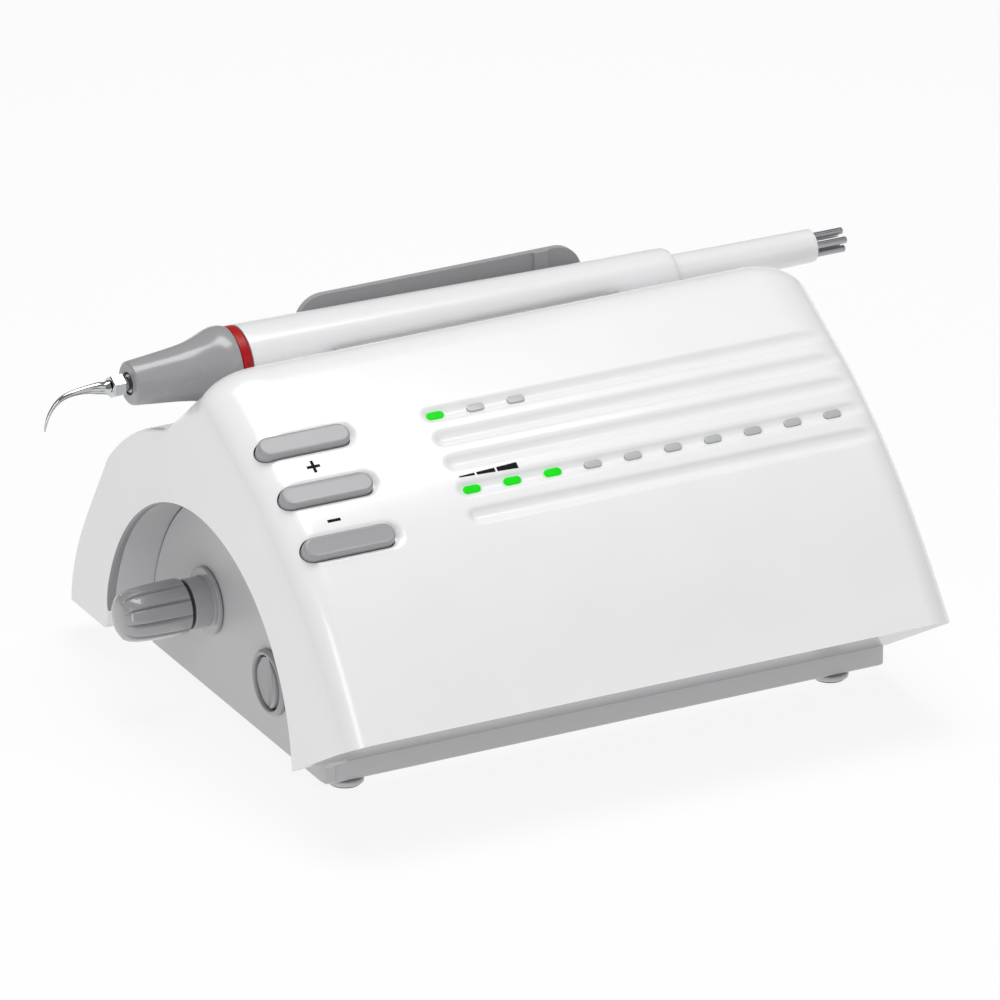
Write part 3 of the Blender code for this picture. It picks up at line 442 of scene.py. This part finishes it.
def hollowed(feature, x, run, side):  # depth of a run-out channel at x, with its row at distance run
    gap = (feature["end"] - feature["radius"] * 0.7 - x) if side < 0 else (x - feature["start"] - feature["radius"] * 0.8)
    away = math.hypot(min(gap, 0.0), run)
    if away >= feature["radius"]:
        return 0.0
    deep = math.sqrt(feature["radius"] ** 2 - away ** 2) - feature["radius"] + feature["depth"]
    return 0.5 * (deep + math.sqrt(deep * deep + 0.02)) if deep > -0.6 else 0.0


def coverBody():
    line = coverLine()
    points = [Vector(p[:2]) for p in line]
    count = len(points)
    normals = []
    for i in range(count):
        run = points[min(i + 1, count - 1)] - points[max(i - 1, 0)]
        normals.append(Vector((run.y, -run.x)).normalized())
    rows = {y: Vector(frontPoint(frontShare(y))) for y in grooves["rows"] + scoops["rows"]}
    under = (Vector(cover["undercut"]) - points[-1]).normalized()
    first = count - sum(1 for p in line if p[0] < -12)
    for i in range(count):  # near the lower edge the fillet turns to follow the undercut
        t = max(0.0, 1 - (points[i] - points[-1]).length / 18)
        if t > 0 and points[i].x < -40:
            t = t * t * (3 - 2 * t)
            normals[i] = (normals[i] * (1 - t) - under * t).normalized()
    stations = [(-1, math.pi / 2 * i / 12, None) for i in range(12)]
    x = -cover["flat"]
    while x < cover["flat"]:
        stations.append((0, math.pi / 2, x))
        x += 0.6 if (-58 < x < -48 or -38 < x < -29) else 3.0
    stations += [(0, math.pi / 2, cover["flat"])] + [(1, math.pi / 2 * i / 12, None) for i in range(11, -1, -1)]
    rings = []
    for side, turn, nominal in stations:
        ring = []
        for i, (point, normal, (_, z, share, reach)) in enumerate(zip(points, normals, line)):
            edge = cover["half"] - cover["taper"] * (z - cover["rear"][1])
            x = (side * (edge - reach * cover["fillet"] * (1 - math.cos(turn))) if side
                 else nominal / cover["flat"] * (edge - reach * cover["fillet"]))
            inward = share * cover["fillet"] * (1 - math.sin(turn))
            if i >= first:
                deep = max([hollowed(grooves, x, (point - rows[y]).length, 1) for y in grooves["rows"]]
                           + [hollowed(scoops, x, (point - rows[y]).length, -1) for y in scoops["rows"]])
                if deep > 0:
                    inward = 0.5 * (inward + deep + math.sqrt((inward - deep) ** 2 + 0.04)) - 0.02
            y, z = point - normal * inward
            ring.append((x, y, z))
        tip = Vector(ring[-1])
        end = Vector((tip.x, *cover["undercut"]))
        ring += [tuple(tip.lerp(end, k / 8)) for k in range(1, 9)]
        rings.append(ring)
    return skin(rings)


def coverHollow():  # inside of the cover, running on through the bottom
    wall = cover["wall"]
    line = coverLine()[::4] + [coverLine()[-1]]
    points = [Vector(p[:2]) for p in line]
    inner = []
    for i, point in enumerate(points):
        run = points[min(i + 1, len(points) - 1)] - points[max(i - 1, 0)]
        inner.append(point - Vector((run.y, -run.x)).normalized() * wall)
    inner[-1] = points[-1] + Vector((wall * 1.3, -wall * 0.35))
    inner[0].y = 4.0
    outline = [tuple(p) for p in inner] + [(-33.8, 4.0)]
    reach = cover["half"] - 13  # short of the end fillets
    return bar(outline, -reach, reach)


def archCutter():  # opening of the niche with a rounded lip, then the wider seat of the lining
    r, lip, left = niche["radius"], 0.9, -cover["half"]
    profile = [(r + lip + 3, left - 3), (r + lip, left)]
    profile += [(r + lip - lip * math.sin(math.radians(a)), left + lip - lip * math.cos(math.radians(a)))
                for a in range(15, 91, 15)]
    profile += [(r, left + niche["rim"]), (niche["lining"] + 0.1, left + niche["rim"]),
                (niche["lining"] + 0.1, niche["panelX"] + 3.4), (0, niche["panelX"] + 3.4)]
    shape = turned([(0, left - 3)] + profile, niche["centre"], 160)
    for vert in shape.verts:
        vert.co.x += cover["taper"] * max(0.0, vert.co.z - 9.4 * mm) * (vert.co.x < (left + 1.5) * mm)
    return shape


def stadium(length, width, z, steps=12):
    half, r = length / 2 - width / 2, width / 2
    return [(x, y, z) for x, y in along(r, -90, 90, steps, (half, 0)) + along(r, 90, 270, steps, (-half, 0))]


def buildCover():
    body = objectFrom("coverShell", coverBody())
    carve(body, [coverHollow(), archCutter(), roundedBox((-80, 70, -30), (80, 100, 38), 1.5)])
    holes = []
    for y in scoops["rows"]:
        holes.append(onSlope(skin([stadium(27.5, 7.3, -12), stadium(27.5, 7.3, 8)]), keys["x"], y))
    carve(body, [joined(holes)])
    finishPiece(body, "cover", "unit", ("top_shell",))
    lining = turned([(niche["radius"], -cover["half"] + niche["rim"] + 0.15), (niche["radius"], niche["panelX"] + 0.2),
                     (niche["lining"], niche["panelX"] + 0.2), (niche["lining"], -cover["half"] + niche["rim"] + 0.15)],
                    niche["centre"], 160)
    soffit = objectFrom("nicheLining", lining)
    below = [(-120, -60), (120, -60), (120, 9.4), (-41, 8.3), (-83.6, 33.4), (-120, 33.4)]
    carve(soffit, [bar([(y, z) for y, z in below], -95, -70)])
    finishPiece(soffit, "tray", "unit", ("base_tray",))


# ---- keys, lights and the printed signs
keys = {"x": -72.3, "length": 26.8, "width": 6.6, "proud": 1.5, "edge": 0.95, "bodies": ("option", "plus", "minus")}
lights = {"first": -33.0, "pitch": 12.0, "length": 5.2, "width": 2.3, "top": -0.45, "bottom": -2.2}
signs = {"plus": (-72.7, -26.4), "minus": (-73.7, -40.3), "wedge": (-34.8, -36.3), "thick": 0.06}


def keyShape():
    rings = [stadium(keys["length"], keys["width"], -4.0), stadium(keys["length"], keys["width"], -0.2)]
    for i in range(7):
        a = math.pi / 2 * i / 6
        inset = keys["edge"] * (1 - math.cos(a)) * 2
        draft = 0.12
        rings.append(stadium(keys["length"] - inset - draft, keys["width"] - inset - draft,
                             keys["proud"] - keys["edge"] * (1 - math.sin(a))))
    inner = keys["edge"] * 2 + 0.7
    rings.append(stadium(keys["length"] - inner, keys["width"] - inner, keys["proud"] - 0.10))
    return skin(rings)


def buildKeys():
    for name, y in zip(keys["bodies"], scoops["rows"]):
        key = objectFrom(name + "Key", onSlope(keyShape(), keys["x"], y))
        finishPiece(key, "key", name + "_key", (name + "_button",))


def pill(x, y, length, width, top):
    rings = [stadium(length, width, lights["bottom"], 6), stadium(length, width, top - 0.35, 6)]
    rings += [stadium(length - 0.16, width - 0.16, top - 0.12, 6), stadium(length - 0.55, width - 0.55, top, 6)]
    return onSlope(skin(rings), x, y)


def buildLights():
    modeXs = [lights["first"] + i * lights["pitch"] for i in range(3)]
    levelXs = [lights["first"] + 0.6 + i * lights["pitch"] for i in range(10)]
    modeY, levelY = grooves["rows"][0], grooves["rows"][3]
    sets = {"modeLit": (modeY, modeXs[:1], "litLens", "mode_light_guide"),
            "modeUnlit": (modeY, modeXs[1:], "lens", "mode_light_guide"),
            "levelLit": (levelY, levelXs[:3], "litLens", "level_light_guide"),
            "levelUnlit": (levelY, levelXs[3:], "lens", "level_light_guide")}
    for name, (y, places, finish, guide) in sets.items():
        size = (lights["length"], lights["width"], lights["top"])
        lens = objectFrom(name + "Lens", joined([pill(x, y, *size) for x in places]))
        finishPiece(lens, finish, "unit", (guide,))
        if finish == "litLens":
            glow = joined([pill(x, y, size[0] + 1.0, size[1] + 0.9, size[2] - 0.42) for x in places])
            finishPiece(objectFrom(name + "Glow", glow), "glowRim", "unit", (guide,))


def flatMark(outline, x, y, lift=0.0):  # thin raised print; outline in mm along x and up the slope
    low, high = -0.25 + lift, signs["thick"] + lift
    return onSlope(skin([[(u, v, w) for u, v in outline] for w in (low, high)]), x, y)


def buildSigns():
    long, thin = 1.9, 0.42
    cross = [(-long, -thin), (-thin, -thin), (-thin, -long), (thin, -long), (thin, -thin), (long, -thin),
             (long, thin), (thin, thin), (thin, long), (-thin, long), (-thin, thin), (-long, thin)]
    dash = [(-long, -thin), (long, -thin), (long, thin), (-long, thin)]
    marks = [flatMark(cross, *signs["plus"]), flatMark(dash, *signs["minus"])]
    x0, y0 = signs["wedge"]
    for start, end in ((0, 4.6), (5.2, 10.6), (11.2, 17.3)):
        low, high = 0.35 + start * 0.085, 0.35 + end * 0.085
        marks.append(flatMark([(start, -low / 2), (end, -high / 2), (end, high / 2), (start, low / 2)], x0, y0))
    finishPiece(objectFrom("printedSigns", joined(marks)), "print", "unit")


# ---- the tray, the niche's back panel and the feet
tray = {"low": (-77.3, -41.9, 2.2), "high": (91.0, 79.0, 8.2), "corner": 1.6, "bevel": 0.4}
knobAxis, switchAxis = (26.8, 28.6), (-10.9, 19.8)
feet = {"front_left_foot": (-69.6, -37.8), "front_right_foot": (76.3, -37.8),
        "rear_left_foot": (-69.6, 70.0), "rear_right_foot": (76.3, 70.0)}


def buildTray():
    low, high = tray["low"], tray["high"]
    base = objectFrom("baseTray", roundedBox(low, high, tray["corner"]))
    finishPiece(base, "tray", "unit", ("base_tray",), rounding=tray["bevel"])
    lip = objectFrom("trayLip", roundedBox((low[0] + 3.5, -36.3, 5.0), (high[0] - 2.1, 76.5, 10.0), 3.0))
    finishPiece(lip, "tray", "unit", ("base_tray",), rounding=0.3)
    x = niche["panelX"]
    outline = along(niche["radius"] - 0.25, 0, 180, 96, niche["centre"])
    outline += [(outline[-1][0], 6.4), (low[1], 2.6), (-38.9, low[2]), (outline[0][0], low[2])]
    panel = objectFrom("nichePanel", bar(outline, x, x + 3))
    wedge = bar([(-70, 23.9), (-70, 0), (low[1] - 0.3, 0), (low[1] - 0.3, 7.6)], x - 5, x + 8)
    carve(panel, [wedge, turned([(0, x - 6), (5.5, x - 6), (5.5, x + 6), (0, x + 6)], knobAxis, 64),
                  turned([(0, x - 6), (8.4, x - 6), (8.4, x + 6), (0, x + 6)], switchAxis, 64)])
    finishPiece(panel, "tray", "unit", ("base_tray",), rounding=0.25)
    for name, (fx, fy) in feet.items():
        body = turned(softened([(0, 3.6), (1.6, 3.6), (1.6, 1.95), (5.1, 1.95), (5.1, 0.5), (0, 0.5)], 0.5), (fx, fy), 64, "z")
        sole = turned(softened([(0, 0.5), (4.6, 0.5), (4.3, 0), (0, 0)], 0.1), (fx, fy), 64, "z")
        plain = name.title().replace("_", "")
        finishPiece(objectFrom("body" + plain, body), "tray", "unit", (name,))
        finishPiece(objectFrom("sole" + plain, sole), "foot", "unit", (name,))


# ---- knob and power switch
knob = {"flutes": 10, "stations": ((-85.8, 7.3, 0.2), (-86.2, 7.6, 0.7), (-90.0, 7.6, 0.9), (-95.0, 7.5, 0.9),
                                   (-98.0, 7.35, 0.9), (-100.4, 7.1, 0.85), (-102.2, 6.7, 0.7), (-103.4, 6.0, 0.5),
                                   (-104.1, 5.0, 0.3), (-104.45, 3.6, 0.12), (-104.5, 1.2, 0.0))}


def buildKnob():
    y, z = knobAxis
    rings = []
    perFlute = 20
    for x, radius, depth in ((-97.0, 0.02, 0), (-97.0, 2.9, 0), (-85.8, 2.9, 0)) + knob["stations"]:
        ring = []
        for i in range(knob["flutes"] * perFlute):
            a = 2 * math.pi * i / (knob["flutes"] * perFlute)
            gap = abs((i % perFlute) - perFlute / 2) / (perFlute / 2)
            dip = depth * math.exp(-((1 - gap) / 0.16) ** 2)
            r = radius - dip
            ring.append((x, y + r * math.cos(a), z + r * math.sin(a)))
        rings.append(ring)
    finishPiece(objectFrom("waterKnob", skin(rings)), "knob", "knob", ("water_knob",), sharp=50)
    collar = softened([(5.2, -74.8), (5.2, -77.8), (9.3, -77.8), (9.3, -79.0), (7.0, -79.0), (7.0, -84.5),
                       (3.3, -84.5), (3.3, -74.8)], 0.35)
    finishPiece(objectFrom("knobCollar", turned(collar, knobAxis)), "knob", "unit", ("knob_collar",))


def buildSwitch():
    bezel = softened([(8.1, -74.8), (8.1, -77.8), (9.1, -77.8), (9.1, -78.7), (8.5, -79.4), (7.8, -79.4), (7.55, -78.9),
                      (7.55, -74.8)], 0.25)
    finishPiece(objectFrom("switchBezel", turned(bezel, switchAxis)), "key", "unit", ("switch_bezel",))
    y0, z0 = switchAxis
    tilt, rise = math.radians(8), math.tan(math.radians(8))
    levels = [(7.0, 1.6), (7.0, -1.2), (6.97, -1.6), (6.85, -1.85), (6.6, -2.0)] + [(r, None) for r in
              (6.2, 5.4, 4.6, 3.8, 3.0, 2.2, 1.4, 0.7, 0.02)]
    rings = []
    for r, x in [(0.02, 1.6)] + levels:
        ring = []
        for i in range(96):
            a = 2 * math.pi * i / 96
            u, v = r * math.cos(a), r * math.sin(a)
            face = -1.35 - abs(u) * rise * 1.25
            depth = face if x is None else max(x, face) if x < 0 else x
            px, py = depth * math.cos(tilt) + u * math.sin(tilt), -depth * math.sin(tilt) + u * math.cos(tilt)
            ring.append((-77.2 + px, y0 + py, z0 + v))
        rings.append(ring)
    finishPiece(objectFrom("powerRocker", skin(rings)), "key", "rocker", ("power_rocker",), sharp=12)


# ---- holder and handpiece
handAxis = (32.0, 93.6)
holder = {"half": 43.0, "inner": 10.8, "wall": 1.8, "lip": 97.0, "back": 102.9, "corner": 8.0, "seat": 75.45}


def buildHolder():
    y, z = handAxis
    outer, front = y + holder["inner"] + holder["wall"], y - holder["inner"] - holder["wall"]
    outline = [(outer, 70), (outer, holder["back"]), (outer - holder["wall"], holder["back"])]
    outline += along(holder["inner"], 0, -180, 48, handAxis)
    outline += [(front + holder["wall"], holder["lip"]), (front, holder["lip"]), (front, 90.6), (24.7, 82.7),
                (26.7, 82.0), (30, 70)]
    body = objectFrom("handpieceHolder", bar(outline, -holder["half"], holder["half"]))
    rib = roundedBox((28.2, outer - holder["wall"] - 0.8, 95), (32.8, outer - 0.6, holder["back"]), 0.5)
    carve(body, [rib], "UNION")
    carve(body, [turned([(0, -60), (holder["seat"], -60), (holder["seat"], 60), (0, 60)], cover["dome"], 256)])
    half, r, top = holder["half"], holder["corner"], holder["back"]
    shape = along(r, 0, 90, 16, (half - r, top - r)) + along(r, 90, 180, 16, (-half + r, top - r)) + [(-half, 60), (half, 60)]
    carve(body, [bar(shape, 10, 60, "y")], "INTERSECT")
    finishPiece(body, "holder", "unit", ("handpiece_holder",), rounding=0.45)


def buildHandpiece():
    profile = [(10.3, -69.0), (10.6, -70.4), (10.55, -72.2), (10.1, -74.0), (9.5, -75.6), (8.85, -77.4), (8.3, -79.2),
               (7.8, -81.3), (7.4, -84.0), (7.0, -87.5), (6.5, -92.5), (6.05, -97.2), (5.9, -97.9), (5.4, -98.3),
               (3.2, -98.3), (3.2, -92.0), (4.6, -91.0), (4.6, -84.0), (5.6, -83.0), (5.6, -69.0)]
    nozzle = turned(profile, handAxis, 160)
    centre = Vector((0, *handAxis)) * mm
    for vert in nozzle.verts:  # nine soft flats along the taper
        out = Vector((0, vert.co.y - centre.y, vert.co.z - centre.z))
        if out.length > 5.9 * mm:
            a = math.atan2(out.z, out.y)
            x = vert.co.x / mm
            strength = 0.010 * min(1.0, max(0.0, (-71.5 - x) / 5)) * min(1.0, max(0.0, (x + 98.2) / 2))
            vert.co += out * strength * math.cos(9 * a)
    finishPiece(objectFrom("handpieceNozzle", nozzle), "nozzle", "handpiece", ("handpiece_nozzle",))
    ring = softened([(5.6, -65.9), (9.95, -65.9), (9.95, -68.7), (5.6, -68.7)], 0.35)
    finishPiece(objectFrom("redRing", turned(ring, handAxis, 128)), "red", "handpiece", ("red_ring",))
    sheath = [(5.6, 64.0), (6.4, 64.0), (7.0, 63.6), (7.35, 62.8), (7.5, 61.6), (7.6, 58.0), (7.9, 38.0), (8.4, 15.0),
              (9.0, -12.0), (9.5, -38.0), (9.9, -58.0), (10.0, -65.2), (9.9, -65.5), (9.6, -65.6), (5.6, -65.6)]
    finishPiece(objectFrom("handpieceSheath", turned(sheath, handAxis, 128)), "sheath", "handpiece", ("handpiece_sheath",))
    tail = [(0, 94.0), (3.9, 94.0), (3.9, 107.5), (4.25, 107.55), (4.5, 107.35), (4.6, 106.8), (5.1, 64.0), (5.2, 54.0),
            (0, 54.0)]
    finishPiece(objectFrom("handpieceTail", turned(tail, handAxis, 96)), "sheath", "handpiece", ("handpiece_tail",))
    shapes = [turned(softened([(0, 105.0), (3.6, 105.0), (3.6, 94.3), (0, 94.3)], 0.3), handAxis, 64)]
    for i in range(5):
        a = math.radians(90 + 72 * i)
        pin = softened([(0, 117.0), (0.95, 117.0), (0.95, 104.6), (0, 104.6)], 0.35)
        shapes.append(turned(pin, (handAxis[0] + 2.55 * math.cos(a), handAxis[1] + 2.55 * math.sin(a)), 24))
    finishPiece(objectFrom("contactPins", joined(shapes)), "steel", "handpiece", ("contact_pins",))


tip = {"path": ((-104.2, 0), (-105.4, 0.1), (-107.2, 0.4), (-109.6, 0.6), (-112.5, 0.6), (-115.5, 0.25),
                            (-117.8, -0.5), (-119.6, -1.8), (-121.0, -3.5), (-122.0, -5.4), (-122.6, -7.3),
                            (-122.9, -9.0)),
       "sizes": ((2.1, 2.1), (1.55, 1.7), (1.35, 1.7), (1.05, 1.3), (0.9, 0.95), (0.8, 0.8), (0.7, 0.7), (0.6, 0.6),
                 (0.52, 0.5), (0.46, 0.42), (0.38, 0.34), (0.22, 0.2))}


def buildTip():
    y0, z0 = handAxis
    count = 24
    rings = []
    for x, apothem, flats in ((-98.4, 1.9, 0), (-99.8, 1.9, 0), (-99.8, 2.45, 1), (-100.1, 2.75, 1), (-103.2, 2.75, 1),
                              (-103.6, 2.5, 1)):
        ring = []
        for i in range(count):
            a = 2 * math.pi * i / count
            off = (a + math.pi / 6) % (math.pi / 3) - math.pi / 6
            r = apothem / math.cos(off) if flats else apothem
            ring.append((x, y0 + r * math.cos(a), z0 + r * math.sin(a)))
        rings.append(ring)
    path, sizes = tip["path"], tip["sizes"]
    knots = [Vector(p) for p in path]
    padded = [2 * knots[0] - knots[1]] + knots + [2 * knots[-1] - knots[-2]]
    for k in range(len(knots)):
        steps = 4 if k < len(knots) - 1 else 1
        for j in range(steps):
            t = j / steps
            if k < len(knots) - 1:
                a, b, c, d = padded[k:k + 4]
                p = 0.5 * (2 * b + (c - a) * t + (2 * a - 5 * b + 4 * c - d) * t * t + (3 * b - a - 3 * c + d) * t ** 3)
                run = (c - a) * (1 - t) + (d - b) * t
                w, h = (sizes[k][m] * (1 - t) + sizes[k + 1][m] * t for m in (0, 1))
            else:
                p, run, (w, h) = knots[-1], knots[-1] - knots[-2], sizes[-1]
            run = run.normalized()
            ring = []
            for i in range(count):
                a = 2 * math.pi * i / count
                u, v = w * math.cos(a), h * math.sin(a)
                ring.append((p.x + v * run.y, y0 + u, z0 + p.y - v * run.x))
            rings.append(ring)
    for ring in rings[6:]:
        ring.reverse()
        ring[:] = ring[-1:] + ring[:-1]
    finishPiece(objectFrom("scalerTip", skin(rings)), "chrome", "tip", ("scaler_tip",), sharp=30)


buildCover()
print("cover built")
buildKeys()
buildLights()
buildSigns()
print("keys and lights built")
buildTray()
buildKnob()
buildSwitch()
print("tray, knob and switch built")
buildHolder()
buildHandpiece()
buildTip()
print("handpiece built")


def setStudio():
    floor = bpy.data.objects.new("floor", bpy.data.meshes.new("floor"))
    shape = bmesh.new()
    bmesh.ops.create_grid(shape, x_segments=1, y_segments=1, size=30)
    shape.to_mesh(floor.data)
    bpy.context.scene.collection.objects.link(floor)
    finish = Finish("paleFloor")
    tone = studio["floorTone"]
    finish.paint(Base_Color=(tone, tone, tone), Roughness=0.9, Specular_IOR_Level=0.1,
                 Emission_Color=(1.0, 1.0, 1.0), Emission_Strength=studio["floorGlow"])
    floor.data.materials.append(finish.material)
    world = bpy.data.worlds.new("studio")
    bpy.context.scene.world = world
    world.use_nodes = True
    sky = world.node_tree.nodes["Background"]
    sky.inputs["Color"].default_value = (*[studio["worldTone"]] * 3, 1)
    sky.inputs["Strength"].default_value = studio["worldPower"]


lamps = {
    "overhead": {"at": (60, 40, 1000), "size": (0.7, 0.5), "power": 6.7},
    "frontSoft": {"at": (420, -760, 460), "size": (0.7, 0.5), "power": 0.8},
    "leftStrip": {"at": (-620, -430, 330), "size": (0.12, 0.7), "power": 1.5},
}


def hangLamps():
    for name, lamp in lamps.items():
        light = bpy.data.lights.new(name, "AREA")
        light.shape = "RECTANGLE"
        light.size, light.size_y = lamp["size"]
        light.energy = lamp["power"]
        item = bpy.data.objects.new(name, light)
        bpy.context.scene.collection.objects.link(item)
        item.location = spot(*lamp["at"])
        item.rotation_euler = (spot(0, 0, 50) - item.location).to_track_quat("-Z", "Y").to_euler()


setStudio()
hangLamps()
print("studio lit")
